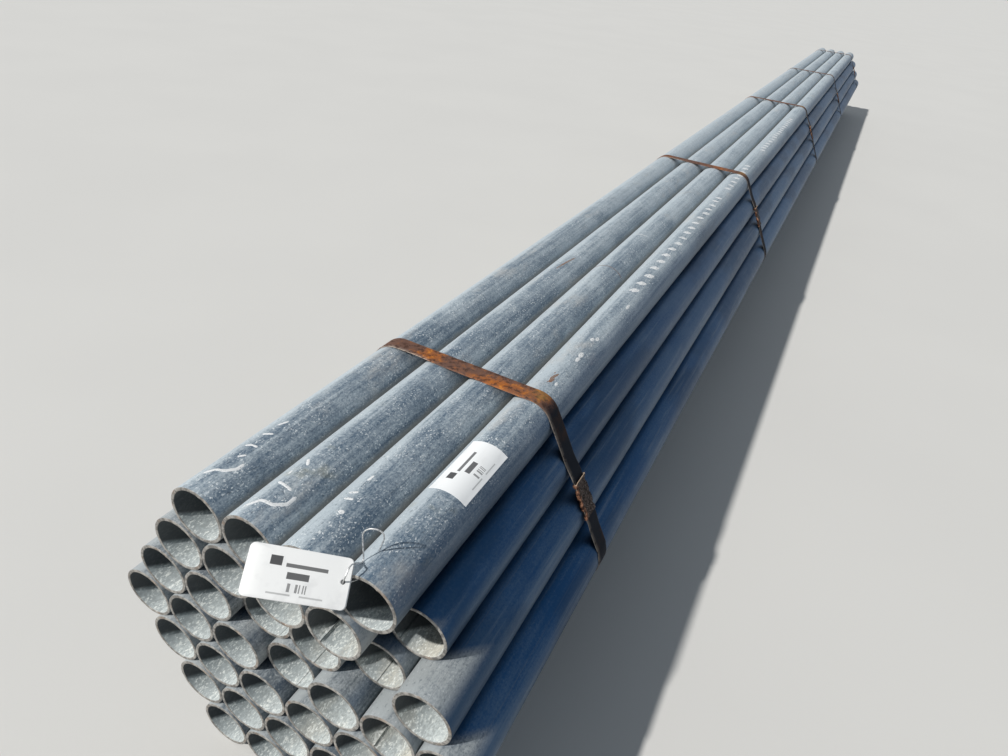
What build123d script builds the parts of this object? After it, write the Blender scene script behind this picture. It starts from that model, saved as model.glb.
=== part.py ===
from build123d import *

import os
from math import cos, degrees, radians, sin, sqrt

# A bundle of galvanised steel pipes: seven rows in a hexagon, held by five steel straps, each
# closed with a crimped seal, and marked with wired tags and a sticker. Millimetres, +Z up. The
# pipes run along Y, with the tagged ends towards -Y. The origin is the middle of the footprint.

# Pipes: 2 7/8 in outside diameter, 0.156 in wall, 21 ft 6 in long
PIPE_OD = 73.025
PIPE_WALL = 3.962
PIPE_LENGTH = 6553.2
PIPE_GAP = 0.3
ROWS = (4, 5, 6, 7, 6, 5, 4)
# Each lower row's near ends stand a little further forward
ROW_LEAN = 2.3
# How far each pipe is set back from its row's line, from the top row down
SETBACKS = (
    (0, 0, 0, 4),
    (0, 0, 0, 0, 46),
    (0, 0, 18, 14, 32, 5),
    (0, 0, 0, 14, 0, 0, 0),
    (0, 0, 0, 0, 0, 0),
    (0, 0, 0, 0, 0),
    (0, 0, 0, 0),
)

# Straps: 1 1/4 in steel band, both ends lapped under a seal on the upper right side. Four are
# placed from the top row's near ends, and the last from the far ends.
STRAP_WIDTH = 31.75
STRAP_THICKNESS = 0.8
STRAP_GAP = 0.3
NEAR_STRAPS = (376.5, 1809.0, 3265.0, 4712.0)
FAR_STRAP_INSET = 240.0
LAP_TAIL = 3.0
LAP_GAP = 0.1
LAP_RAMP = 28.0

# Seals: a steel sleeve 2 1/4 in long, folded round both layers of the band, flared at its two
# mouths, and notched through both edges together with the band. Each is placed by how far it
# lies below the middle of its side.
SEAL_LENGTH = 57.15
SEAL_THICKNESS = 1.0
SEAL_CLEARANCE = 0.25
SEAL_FOLD = 0.7
SEAL_OFFSETS = (21.0, -2.0, -14.0, 8.0, -6.0)
FLANGE_WIDTH = 11.0
MOUTH_LENGTH = 2.5
MOUTH_FLARE = 0.9
CRIMP_COUNT = 3
CRIMP_LENGTH = 7.5
CRIMP_DEPTH = 4.2

# Tags: two plastic tags of 3 3/4 by 1 7/8 in, one behind the other on the same wire
TAG_LENGTH = 95.25
TAG_HEIGHT = 47.6
TAG_THICKNESS = 0.8
TAG_CORNER = 5.0
TAG_HOLE = 5.0
TAG_HOLE_INSET = 6.5
TAG_HOLE_RISE = 1.3
TAG_RUN = (0.80, 0.537, -0.263)
TAG_FACE = (0.49, -0.34, 0.80)
TAG_LAYER_GAP = 0.4
TAG_SLIDE = 1.2

# Wire: 16 gauge, bent round the wall of the top right pipe and up into a loop, and drawn with
# eight sides. A corner point gives the angle round that pipe's axis, the distance behind its near
# end, and the height over the bore, or over the outside.
WIRE_DIAMETER = 1.6
WIRE_SIDES = 8
WIRE_IN_THE_BORE = (
    (100.0, 27.0, -0.97),
    (116.6, 6.0, -5.72),
    (123.5, -10.9, 1.37),
)
WIRE_OVER_THE_PIPE = (
    (106.8, -13.6, 8.73),
    (105.9, -3.0, 16.51),
    (119.2, 20.5, -1.68),
    (106.0, 23.0, 38.40),
    (91.4, 30.0, 40.51),
    (92.5, 33.5, 23.54),
    (105.9, 36.0, 1.03),
)
WIRE_BENDS = (20.0, 5.0, 6.0, 6.0, 3.0, 9.0, 6.0, 20.0)
TAG_HOLE_PLACE = (115.0, -12.1, 2.10)

# Sticker of 4 by 2 in, bent over the crown of the top right pipe
STICKER_LENGTH = 101.6
STICKER_WIDTH = 50.8
STICKER_THICKNESS = 0.3
STICKER_GAP = 0.1
STICKER_START = 145.0
STICKER_ANGLE = 87.0

# The pipes' places in the bundle
PIPE_RADIUS = PIPE_OD / 2
BORE_RADIUS = PIPE_RADIUS - PIPE_WALL
PITCH = PIPE_OD + PIPE_GAP
ROW_STEP = PITCH * sqrt(3) / 2
MIDDLE_ROW = len(ROWS) // 2
LAST_ROW = len(ROWS) - 1
FLOOR_TO_AXIS = STRAP_THICKNESS + STRAP_GAP + PIPE_RADIUS

# The bundle's sides, clockwise from the top: the corner pipe that each starts at, and the
# direction that it faces
TURN = 60
SIDE_FACES = tuple(90 - TURN * side for side in range(6))
CORNERS = (
    (0, 0),
    (0, ROWS[0] - 1),
    (MIDDLE_ROW, ROWS[MIDDLE_ROW] - 1),
    (LAST_ROW, ROWS[LAST_ROW] - 1),
    (LAST_ROW, 0),
    (MIDDLE_ROW, 0),
)
SEAL_SIDE = 1
SIDE_LENGTH = MIDDLE_ROW * PITCH
TAGGED_PIPE = CORNERS[SEAL_SIDE]

# Heights over the band's own path on the seal's side
LIFT = SEAL_THICKNESS + 2 * SEAL_CLEARANCE
UPPER_LAYER = LIFT + STRAP_THICKNESS + LAP_GAP
LAP_TOP = UPPER_LAYER + STRAP_THICKNESS
SEAL_TOP = LAP_TOP + SEAL_CLEARANCE + SEAL_THICKNESS


def pipe_axis(row, column):
    """X and Z of one pipe's axis, rows counted from the top and columns from the left."""
    x = (column - (ROWS[row] - 1) / 2) * PITCH
    z = FLOOR_TO_AXIS + (LAST_ROW - row) * ROW_STEP
    return x, z


def near_end(row, column):
    """Y of one pipe's near end, measured from the top row's."""
    return SETBACKS[row][column] - ROW_LEAN * row


def make_pipe(row, column):
    x, z = pipe_axis(row, column)
    ring = Circle(PIPE_RADIUS) - Circle(BORE_RADIUS)
    tube = extrude(Plane.XZ * ring, PIPE_LENGTH)
    return Pos(x, near_end(row, column) + PIPE_LENGTH, z) * tube


def polar(center, radius, angle):
    return (center[0] + radius * cos(radians(angle)), center[1] + radius * sin(radians(angle)))


def side_point(along, out):
    """A point on the seal's side: how far down from the top corner pipe, and how far out."""
    angle = SIDE_FACES[SEAL_SIDE]
    x, z = polar(pipe_axis(*CORNERS[SEAL_SIDE]), PIPE_RADIUS + STRAP_GAP + out, angle)
    return (x + along * sin(radians(angle)), z - along * cos(radians(angle)))


def around_the_bundle(out):
    """The band's way from the top of the seal side, anticlockwise, to the bottom of it."""
    radius = PIPE_RADIUS + STRAP_GAP + out
    edges = []
    for step in range(len(CORNERS)):
        index = (SEAL_SIDE - step) % len(CORNERS)
        center = pipe_axis(*CORNERS[index])
        first = polar(center, radius, SIDE_FACES[index])
        middle = polar(center, radius, SIDE_FACES[index] + TURN / 2)
        last = polar(center, radius, SIDE_FACES[index] + TURN)
        if step:
            edges.append(Line(start, first))
        edges.append(ThreePointArc(first, middle, last))
        start = last
    return edges


def strap_profile(seal_place):
    """Outline of the open band, whose two ends lie over each other under the seal."""
    lap_start = seal_place - SEAL_LENGTH / 2 - LAP_TAIL
    lap_end = seal_place + SEAL_LENGTH / 2 + LAP_TAIL
    full_rise = lap_start - LAP_TAIL
    upper_end = [
        side_point(0, 0),
        side_point(full_rise - LAP_RAMP, 0),
        side_point(full_rise, UPPER_LAYER),
        side_point(lap_end, UPPER_LAYER),
        side_point(lap_end, LAP_TOP),
        side_point(full_rise, LAP_TOP),
        side_point(full_rise - LAP_RAMP, STRAP_THICKNESS),
        side_point(0, STRAP_THICKNESS),
    ]
    lower_end = [
        side_point(SIDE_LENGTH, STRAP_THICKNESS),
        side_point(lap_end + LAP_RAMP, STRAP_THICKNESS),
        side_point(lap_end, LIFT + STRAP_THICKNESS),
        side_point(lap_start, LIFT + STRAP_THICKNESS),
        side_point(lap_start, LIFT),
        side_point(lap_end, LIFT),
        side_point(lap_end + LAP_RAMP, 0),
        side_point(SIDE_LENGTH, 0),
    ]
    edges = around_the_bundle(0) + around_the_bundle(STRAP_THICKNESS)
    for ends in (upper_end, lower_end):
        edges += [Line(a, b) for a, b in zip(ends, ends[1:])]
    return make_face(edges)


def seal_plane(place, seal_place):
    """X across the band, Y away from the pipes and Z down the side, from the seal's middle."""
    angle = radians(SIDE_FACES[SEAL_SIDE])
    x, z = side_point(seal_place, 0)
    down_the_side = (sin(angle), 0, -cos(angle))
    return Plane(origin=(x, place, z), x_dir=(0, 1, 0), z_dir=down_the_side)


def crimp_notches():
    """Wedges that notch both edges of the seal and of the two layers inside it."""
    edge = STRAP_WIDTH / 2 + SEAL_CLEARANCE + SEAL_THICKNESS
    spacing = SEAL_LENGTH / CRIMP_COUNT
    notches = []
    for index in range(CRIMP_COUNT):
        along = (index - (CRIMP_COUNT - 1) / 2) * spacing
        for side in (-1, 1):
            wedge = Polyline(
                (side * (edge - CRIMP_DEPTH), along),
                (side * (edge + CRIMP_DEPTH), along - CRIMP_LENGTH),
                (side * (edge + CRIMP_DEPTH), along + CRIMP_LENGTH),
                close=True,
            )
            notches.append(extrude(Plane.XZ * make_face(wedge), 2 * SEAL_TOP, both=True))
    return notches


def make_strap(place, seal_place):
    band = extrude(Plane.XZ * strap_profile(seal_place), STRAP_WIDTH)
    band = Pos(0, place + STRAP_WIDTH / 2, 0) * band
    plane = seal_plane(place, seal_place)
    return band - [plane * notch for notch in crimp_notches()]


def seal_section(flare):
    """The sleeve's outline across the band, folded under both edges and open behind."""
    inner = STRAP_WIDTH / 2 + SEAL_CLEARANCE + flare
    outer = inner + SEAL_THICKNESS
    lip = outer - FLANGE_WIDTH
    low, high = SEAL_CLEARANCE, SEAL_TOP + flare
    floor, roof = low + SEAL_THICKNESS, high - SEAL_THICKNESS
    outside = [
        (lip, low),
        (outer - SEAL_FOLD, low),
        (outer, low + SEAL_FOLD),
        (outer, high - SEAL_FOLD),
        (outer - SEAL_FOLD, high),
    ]
    inside = [(inner, roof), (inner, floor), (lip, floor)]
    other_outside = [(-x, y) for x, y in reversed(outside)]
    other_inside = [(-x, y) for x, y in reversed(inside)]
    return make_face(Polyline(*outside, *other_outside, *other_inside, *inside, close=True))


def make_seal(place, seal_place):
    straight = SEAL_LENGTH / 2 - MOUTH_LENGTH
    sleeve = extrude(seal_section(0), straight, both=True)
    for side in (-1, 1):
        neck = Pos(0, 0, side * straight) * seal_section(0)
        mouth = Pos(0, 0, side * SEAL_LENGTH / 2) * seal_section(MOUTH_FLARE)
        sleeve += loft([neck, mouth], ruled=True)
    return seal_plane(place, seal_place) * (sleeve - crimp_notches())


def by_the_tagged_pipe(radius, place):
    """A point by its angle round the tagged pipe, its way behind the near end, and its height."""
    angle, along, height = place
    x, z = polar(pipe_axis(*TAGGED_PIPE), radius + height, angle)
    return (x, near_end(*TAGGED_PIPE) + along, z)


def make_tag(layer):
    """One plastic tag, hung by its hole. Layer 0 is the front one."""
    hole = by_the_tagged_pipe(PIPE_RADIUS, TAG_HOLE_PLACE)
    plane = Plane(origin=hole, x_dir=TAG_RUN, z_dir=TAG_FACE)
    center = Pos(TAG_HOLE_INSET - TAG_LENGTH / 2, -TAG_HOLE_RISE)
    outline = center * RectangleRounded(TAG_LENGTH, TAG_HEIGHT, TAG_CORNER) - Circle(TAG_HOLE / 2)
    depth = -layer * (TAG_THICKNESS + TAG_LAYER_GAP) - TAG_THICKNESS / 2
    return plane * Pos(layer * TAG_SLIDE, 0, depth) * extrude(outline, TAG_THICKNESS)


def make_wire():
    corners = [by_the_tagged_pipe(BORE_RADIUS, place) for place in WIRE_IN_THE_BORE]
    corners += [by_the_tagged_pipe(PIPE_RADIUS, place) for place in WIRE_OVER_THE_PIPE]
    path = FilletPolyline(*corners, radius=WIRE_BENDS)
    section = Plane(origin=path @ 0, z_dir=path % 0) * RegularPolygon(WIRE_DIAMETER / 2, WIRE_SIDES)
    return sweep(section, path)


def make_sticker():
    """A printed label bent over the pipe's crown."""
    inner = PIPE_RADIUS + STICKER_GAP
    outer = inner + STICKER_THICKNESS
    half = degrees(STICKER_WIDTH / (2 * PIPE_RADIUS))
    first, last = STICKER_ANGLE - half, STICKER_ANGLE + half
    center = (0, 0)
    profile = make_face(
        [
            ThreePointArc(*[polar(center, outer, a) for a in (first, STICKER_ANGLE, last)]),
            Line(polar(center, outer, last), polar(center, inner, last)),
            ThreePointArc(*[polar(center, inner, a) for a in (last, STICKER_ANGLE, first)]),
            Line(polar(center, inner, first), polar(center, outer, first)),
        ]
    )
    x, z = pipe_axis(*TAGGED_PIPE)
    far_edge = near_end(*TAGGED_PIPE) + STICKER_START + STICKER_LENGTH
    return Pos(x, far_edge, z) * extrude(Plane.XZ * profile, STICKER_LENGTH)


def make_bundle():
    """Every piece by name."""
    pieces = {}
    for row, count in enumerate(ROWS):
        for column in range(count):
            pieces[f"pipe_r{row + 1}_c{column + 1}"] = make_pipe(row, column)
    strap_places = (*NEAR_STRAPS, PIPE_LENGTH - FAR_STRAP_INSET)
    for index, (place, offset) in enumerate(zip(strap_places, SEAL_OFFSETS), 1):
        seal_place = SIDE_LENGTH / 2 + offset
        pieces[f"strap_{index}"] = make_strap(place, seal_place)
        pieces[f"strap_seal_{index}"] = make_seal(place, seal_place)
    pieces["hang_tag"] = make_tag(0)
    pieces["hang_tag_back"] = make_tag(1)
    pieces["tag_wire"] = make_wire()
    pieces["sticker"] = make_sticker()
    return pieces


def main():
    pieces = make_bundle()
    box = Compound(list(pieces.values())).bounding_box()
    to_the_middle = Pos(0, -(box.min.Y + box.max.Y) / 2, 0)
    os.makedirs("parts", exist_ok=True)
    for name, piece in pieces.items():
        export_step(to_the_middle * piece, f"parts/{name}.step")
    print("moved along Y by", to_the_middle.position.Y, "box", box)


main()
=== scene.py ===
import math

import bmesh
import bpy
import numpy as np
from mathutils import Matrix, Vector, noise


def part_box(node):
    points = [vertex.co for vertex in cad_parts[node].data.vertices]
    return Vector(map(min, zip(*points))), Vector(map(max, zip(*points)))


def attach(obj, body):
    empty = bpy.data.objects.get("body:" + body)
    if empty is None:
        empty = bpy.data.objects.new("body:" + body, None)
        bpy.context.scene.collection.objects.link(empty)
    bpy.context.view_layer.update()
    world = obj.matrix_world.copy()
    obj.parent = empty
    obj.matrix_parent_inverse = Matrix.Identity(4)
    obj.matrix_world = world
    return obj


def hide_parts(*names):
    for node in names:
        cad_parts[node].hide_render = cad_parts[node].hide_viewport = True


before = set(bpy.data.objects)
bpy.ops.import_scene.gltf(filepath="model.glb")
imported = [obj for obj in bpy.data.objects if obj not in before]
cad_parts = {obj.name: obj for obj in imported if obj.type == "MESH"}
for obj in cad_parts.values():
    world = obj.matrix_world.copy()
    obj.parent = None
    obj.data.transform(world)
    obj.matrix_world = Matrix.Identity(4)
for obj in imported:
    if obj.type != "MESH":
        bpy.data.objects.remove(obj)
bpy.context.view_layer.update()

# The looks of a strapped bundle of galvanised pipes. Metres, +Z up, the pipes along Y with
# their tagged ends towards -Y.
bl_info = {
    "name": "Strapped pipe bundle",
    "version": (1, 0, 0),
    "blender": (4, 5, 0),
    "location": "View3D > Sidebar > Pipe bundle",
    "description": "Dresses the solids of a bundle of galvanised pipes with straps, tags and marks",
    "category": "Add Mesh",
}

PIPES = sorted(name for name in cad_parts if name.startswith("pipe_r"))
SEALS = sorted(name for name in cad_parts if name.startswith("strap_seal_"))
STRAPS = [seal.replace("_seal", "") for seal in SEALS]


# Sizes and colours


def length(description, default):
    return bpy.props.FloatProperty(
        description=description, default=default, min=0, unit="LENGTH", precision=5
    )


def colour(description, default):
    return bpy.props.FloatVectorProperty(
        description=description, default=default, min=0, max=1, size=3, subtype="COLOR"
    )


class BundleSizes(bpy.types.PropertyGroup):
    """Sizes of the pieces, in metres."""

    pipe_diameter: length("Outside diameter of each pipe", 0.073025)
    pipe_wall: length("Wall thickness of each pipe", 0.003962)
    end_rounding: length("Radius on the cut edges of each pipe", 0.0007)
    bead_height: length("How far the weld bead stands into the bore", 0.0011)
    strap_gap: length("Room between the pipes and the straps", 0.0003)
    strap_thickness: length("Thickness of the band", 0.0008)
    edge_lift: length("How far the first strap's near edge stands up", 0.0022)
    seal_length: length("Length of each crimped seal", 0.05715)
    seal_thickness: length("Thickness of the seals' steel", 0.001)
    crimp_depth: length("How far the crimps bite into a seal's near edge", 0.0042)
    tag_bow: length("How far the middle of the front tag bows out", 0.0012)
    wire_diameter: length("Diameter of the tags' wire", 0.0016)
    stroke_width: length("Width of a white paint stroke", 0.0036)
    strap_stray: length("How far the first strap strays to the near end", 0.0045)


class BundleColours(bpy.types.PropertyGroup):
    """Base colours of the finishes."""

    zinc_pale: colour("Frosted zinc on the exposed tops", (0.53, 0.60, 0.65))
    zinc_deep: colour("Smooth zinc between the frost", (0.090, 0.142, 0.205))
    # Painted shade: navy zinc in shade reflecting the sky, given as the colour of the sides
    zinc_in_shade: colour("Clean zinc down the sides", (0.010, 0.050, 0.135))
    # Painted bounce light: greyer zinc low on the shaded sides
    zinc_flank_bounce: colour("Greyer zinc low on the sides", (0.055, 0.092, 0.140))
    # Partly dust and partly painted bounce light in the valleys
    dust: colour("Pale dust in the valleys between the pipes", (0.37, 0.375, 0.365))
    bore: colour("Zinc inside the pipes", (0.70, 0.765, 0.775))
    bore_warm: colour("Warm stain inside the pipes", (0.80, 0.745, 0.62))
    rust: colour("Bright rust on the straps", (0.42, 0.135, 0.03))
    plastic: colour("White plastic of the tags", (0.93, 0.945, 0.955))
    paper: colour("White face of the sticker", (0.90, 0.925, 0.95))
    ink: colour("Printed bars", (0.035, 0.036, 0.04))
    paint: colour("White paint marks", (0.78, 0.80, 0.82))
    floor: colour("Studio floor", (0.66, 0.66, 0.65))


# Shader nodes


class Value:
    """A node's output, on which sums are written as plain expressions."""

    def __init__(self, nodes, socket):
        self.nodes = nodes
        self.socket = socket

    def __add__(self, other):
        return self.nodes.sum("ADD", self, other)

    def __sub__(self, other):
        return self.nodes.sum("SUBTRACT", self, other)

    def __rsub__(self, other):
        return self.nodes.sum("SUBTRACT", other, self)

    def __mul__(self, other):
        return self.nodes.sum("MULTIPLY", self, other)

    def __abs__(self):
        return self.nodes.sum("ABSOLUTE", self)

    __radd__ = __add__
    __rmul__ = __mul__

    def rise(self, low, high):
        """0 below low, 1 above high, smooth between. High below low turns it round."""
        inputs = {"Value": self, "From Min": low, "From Max": high}
        return self.nodes.node("ShaderNodeMapRange", {"interpolation_type": "SMOOTHSTEP"}, inputs)


class Nodes:
    """An emptied node tree, and the one way in which nodes are added to it."""

    def __init__(self, owner):
        owner.use_nodes = True
        self.tree = owner.node_tree
        self.tree.nodes.clear()

    def node(self, kind, settings=None, inputs=None, output=0):
        """Adds a node: its settings first, then its inputs by name or number."""
        node = self.tree.nodes.new(kind)
        for name, setting in (settings or {}).items():
            setattr(node, name, setting)
        for name, given in (inputs or {}).items():
            socket = node.inputs[name]
            if isinstance(given, Value):
                self.tree.links.new(given.socket, socket)
            elif socket.type == "RGBA":
                socket.default_value = (*given[:3], 1)
            else:
                socket.default_value = given
        return Value(self, node.outputs[output]) if node.outputs else None

    def sum(self, operation, *terms):
        """One step of shader maths."""
        return self.node("ShaderNodeMath", {"operation": operation}, dict(enumerate(terms)))


class Finish(Nodes):
    """One material and the nodes that give it its look."""

    def __init__(self, name):
        self.material = bpy.data.materials.new(name)
        super().__init__(self.material)
        self.colours = bpy.context.scene.bundle_colours
        self.here = self.node("ShaderNodeTexCoord", output="Object")

    def axis(self, vector, number):
        return self.node("ShaderNodeSeparateXYZ", None, {"Vector": vector}, number)

    def facing_x(self):
        """1 where the surface faces +X, -1 where it faces -X."""
        return self.axis(self.node("ShaderNodeNewGeometry", output="Normal"), 0)

    def place(self, along):
        """The place on the bundle. An along below 1 draws a pattern out along the pipes."""
        if along == 1:
            return self.here
        inputs = {0: self.here, 1: (1, along, 1)}
        return self.node("ShaderNodeVectorMath", {"operation": "MULTIPLY"}, inputs)

    def cloud(self, scale, detail=3.0, roughness=0.5, along=1):
        inputs = {"Vector": self.place(along), "Scale": scale, "Detail": detail, "Roughness": roughness}
        return self.node("ShaderNodeTexNoise", None, inputs)

    def cells(self, scale, channel, along):
        """One channel of the random colours of a pattern of cells."""
        inputs = {"Vector": self.place(along), "Scale": scale}
        return self.axis(self.node("ShaderNodeTexVoronoi", None, inputs, "Color"), channel)

    def field(self, name):
        """What the mesh says at each point under that name."""
        return self.node("ShaderNodeAttribute", {"attribute_name": name}, None, "Fac")

    def mix(self, share, first, second):
        return self.node("ShaderNodeMix", {"data_type": "RGBA"}, {0: share, 6: first, 7: second}, 2)

    def coats(self, colour, *coats):
        """The colour under coats of other colours, each with the share that it covers."""
        for share, coat in coats:
            colour = self.mix(share, colour, coat)
        return colour

    def done(self, colour, roughness, height, depth, strength, **others):
        """Closes the material. Height is a relief of that depth in metres."""
        bump = {"Strength": strength, "Distance": depth, "Height": height}
        inputs = {"Base Color": colour, "Roughness": roughness}
        inputs["Normal"] = self.node("ShaderNodeBump", None, bump)
        inputs.update({name.replace("_", " "): given for name, given in others.items()})
        surface = self.node("ShaderNodeBsdfPrincipled", None, inputs)
        self.node("ShaderNodeOutputMaterial", None, {"Surface": surface})
        return self.material


# Finishes


def galvanised_outside(finish):
    """Weathered zinc: frost, runs and flecks, pale dust, and painted light, shade and bounce light."""
    colours, field = finish.colours, finish.field
    broad = finish.cloud(9, 4, along=0.3)
    mottle = finish.cloud(55, 6, 0.7)
    frost = finish.cloud(210, 4, 0.65)
    grain = finish.cloud(540, 3, 0.7, along=0.6)
    streak = finish.cloud(150, 4, 0.6, along=0.03)
    cast = finish.cloud(21, 2, along=0.6)
    age = field("age")
    facing = finish.facing_x()
    # Paler zinc on the side that faces -X, towards the lamp: painted light, held a little back where
    # the surface faces straight along -X
    weather = facing.rise(-0.05, -0.80) - facing.rise(-0.70, -0.98) * 1.1
    pale = broad * 0.5 + cast * 0.55 + mottle * 0.3 + frost * 0.5 + streak * 0.90 + grain * 0.90
    pale = pale + field("tone") * 0.36 + weather * 0.72
    calm = field("distant") * 0.45
    frosted = pale.rise(1.70, 2.52) * (1 - calm) + calm * 0.66
    exposed = finish.mix(frosted, colours.zinc_deep, colours.zinc_pale)
    sheltered = finish.mix(pale.rise(1.55, 2.25), (0.085, 0.098, 0.108), (0.35, 0.37, 0.375))
    fleck = finish.cloud(480, 2, along=0.7).rise(0.59, 0.65)
    flecked = finish.cloud(45, 4, 0.7).rise(0.42, 0.60)
    pit = finish.cloud(300, 3, 0.6, along=0.5).rise(0.40, 0.31)
    bloom = finish.cloud(17, 5, 0.7, along=0.4).rise(0.54, 0.74)
    # Paler in the valleys between touching pipes: partly dust, partly painted bounce light against
    # their shade.
    dust = (field("valley") * 1.25 + mottle * 0.8 - 0.55).rise(0.0, 0.9)
    stain = finish.cloud(26, 4).rise(0.57, 0.72) * field("end")
    top = finish.coats(
        sheltered,
        (age, exposed),
        (fleck * flecked * age * 0.9, (0.78, 0.82, 0.84)),
        (pit * 0.4, (0.045, 0.065, 0.09)),
        (bloom * age * 0.5, (0.57, 0.555, 0.53)),
        (dust * 0.8, colours.dust),
        (stain * 0.4, (0.36, 0.34, 0.22)),
    )
    # The colour of the shaded sides is painted shade: navy where zinc in shade reflects the sky,
    # lighter and bluer far along.
    side = finish.coats(
        colours.zinc_in_shade,
        (field("distant") * 0.62, (0.052, 0.135, 0.250)),
        # Painted reflection: brighter blue in the valleys between the shaded side pipes
        (field("nook") * 0.8, (0.030, 0.130, 0.300)),
        # Painted bounce light: greyer low on each shaded side pipe
        (field("flank"), colours.zinc_flank_bounce),
        (pale.rise(1.6, 2.3) * 0.30, (0.13, 0.19, 0.25)),
        (broad.rise(0.52, 0.40) * 0.45, (0.012, 0.035, 0.075)),
        (streak.rise(0.56, 0.70) * 0.12, (0.25, 0.29, 0.32)),
    )
    # Painted shade covers the sides and the inner pipes' shaded parts, and stops near the ends where
    # the sun reaches past the neighbouring pipes.
    deep = field("deep") * (1 - field("lit_top") * field("shade").rise(0.02, -0.006))
    zinc = finish.coats(top, (deep, side), (field("seam_outside") * 0.5, (0.10, 0.11, 0.12)))
    roughness = 0.60 - deep * 0.24 + mottle * 0.22 + dust * 0.15
    relief = mottle * 0.5 + frost * 0.45 + streak * 0.25 + grain * 0.25
    metal = 0.38 + deep * 0.54
    return finish.done(zinc, roughness, relief, 0.0006, 0.45, Metallic=metal, Specular_IOR_Level=0.3)


def galvanised_bore(finish):
    """Cleaner zinc inside: fine spangle near the end, painted shadow and shade, and the weld's dark
    line.
    """
    colours, field = finish.colours, finish.field
    spangle = finish.cells(640, 0, along=0.5)
    coarse = finish.cells(150, 1, along=0.5)
    grain = finish.cloud(900, 3, 0.7, along=0.5)
    patch = finish.cloud(22, 3, along=0.5)
    runs = finish.cloud(140, 3, along=0.04)
    warm = (patch * 0.8 + grain * 0.3).rise(0.50, 0.66) * field("warm")
    shade = spangle * 0.36 + coarse * 0.10 + grain * 0.74 + runs * 0.42
    # Painted shadow: dark beyond where the sun reaches into the bore, fading out towards the far end,
    # with a mottle of its own
    grimed = field("beyond").rise(0.001, 0.012) * field("grimed")
    shadow_mottle = (patch + 0.2 * shade).rise(0.5, 0.8)
    zinc = finish.coats(
        colours.bore,
        ((patch + 0.25 * coarse).rise(0.45, 0.80) * 0.5, (0.50, 0.55, 0.57)),
        (warm * 0.7, colours.bore_warm),
        # Painted shade on the part of each bore that faces away from the light; the lit lower right
        # stays pale as painted light
        ((1 - field("washed")) * 0.62, (0.27, 0.315, 0.335)),
        (shade.rise(0.86, 0.58) * 0.5, (0.27, 0.295, 0.305)),
        (shade.rise(0.86, 1.06) * 0.8, (0.90, 0.94, 0.92)),
        (grimed * 0.96, finish.mix(shadow_mottle, (0.050, 0.058, 0.065), (0.084, 0.092, 0.097))),
        (field("seam"), (0.018, 0.018, 0.018)),
    )
    metal = (1 - grimed) * 0.25
    relief = spangle * 0.15 + grain * 0.5
    roughness = 0.45 + grain * 0.25 + grimed * 0.25
    return finish.done(zinc, roughness, relief, 0.0002, 0.2, Metallic=metal, Specular_IOR_Level=0.05)


def cut_edge(finish):
    """The sawn ring at each pipe's end: brownish steel with bright burrs."""
    wear = finish.cloud(180, 4, 0.6)
    steel = finish.mix(wear.rise(0.38, 0.62), (0.155, 0.148, 0.14), (0.35, 0.34, 0.32))
    steel = finish.coats(
        steel,
        (finish.cloud(60, 4).rise(0.56, 0.70) * 0.45, (0.28, 0.19, 0.13)),
        (finish.cloud(420, 2).rise(0.64, 0.74) * 0.6, (0.62, 0.60, 0.57)),
    )
    return finish.done(steel, 0.5 + wear * 0.2, wear, 0.0002, 0.3, Metallic=0.4)


def rusty_band(finish):
    """Rusted strap steel: orange on purple-brown on top, near black off the top as painted shade."""
    field = finish.field
    blotch = finish.cloud(24, 5, 0.62)
    flake = finish.cloud(120, 5, 0.7)
    fine = finish.cloud(520, 4, 0.6)
    orange = finish.cloud(7, 2) * 1.3 + blotch * 0.8 + flake * 0.7 + fine * 0.3
    orange = orange.rise(1.52, 1.90) * field("fresh")
    # Painted shade: near black with a blue cast where the band is off the top
    old = finish.mix(blotch.rise(0.46, 0.66), (0.010, 0.014, 0.022), (0.036, 0.022, 0.020))
    rust = finish.coats(
        (0.150, 0.085, 0.066),
        (orange, finish.colours.rust),
        (flake.rise(0.50, 0.38) * 0.75, (0.055, 0.028, 0.020)),
        (flake.rise(0.55, 0.66) * orange * 0.7, (0.62, 0.25, 0.05)),
        (field("shoulder") * blotch.rise(0.40, 0.58) * 0.5, (0.36, 0.22, 0.07)),
        (field("old"), old),
        (fine.rise(0.5, 0.75) * 0.3, (0.04, 0.025, 0.02)),
        (field("edge") * flake.rise(0.36, 0.52) * 0.8, (0.48, 0.42, 0.37)),
    )
    relief = flake * 0.7 + fine * 0.4
    return finish.done(rust, 0.6 + fine * 0.2, relief, 0.0006, 0.6, Specular_IOR_Level=0.06)


def crusty_seal(finish):
    """Seal steel: dark grey crust with rust along the crimped edges."""
    crust = finish.cloud(190, 6, 0.75)
    speck = finish.cloud(420, 3, 0.6).rise(0.58, 0.68)
    grey = finish.mix(crust.rise(0.40, 0.62), (0.018, 0.013, 0.012), (0.125, 0.095, 0.085))
    brown = finish.mix(crust.rise(0.44, 0.60), (0.030, 0.014, 0.011), (0.34, 0.17, 0.105))
    worn = (finish.field("edge") + finish.cloud(60, 3) * 0.6 - 0.30).rise(0.2, 0.65)
    steel = finish.coats(
        grey,
        (speck * 0.7, (0.34, 0.31, 0.30)),
        (worn, brown),
        (finish.field("mouth") * 0.8, (0.55, 0.42, 0.32)),
    )
    return finish.done(steel, 0.6 + crust * 0.25, crust, 0.0014, 0.8, Specular_IOR_Level=0.1)


# Printed bars: the middle's place across and down, half width and half height in shares of the
# label, and strength
BARS = (
    (0.27, 0.27, 0.055, 0.085, 0.95),
    (0.57, 0.33, 0.20, 0.032, 0.85),
    (0.50, 0.52, 0.105, 0.060, 0.9),
    (0.35, 0.875, 0.11, 0.012, 0.45),
    (0.66, 0.875, 0.11, 0.012, 0.4),
)
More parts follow.
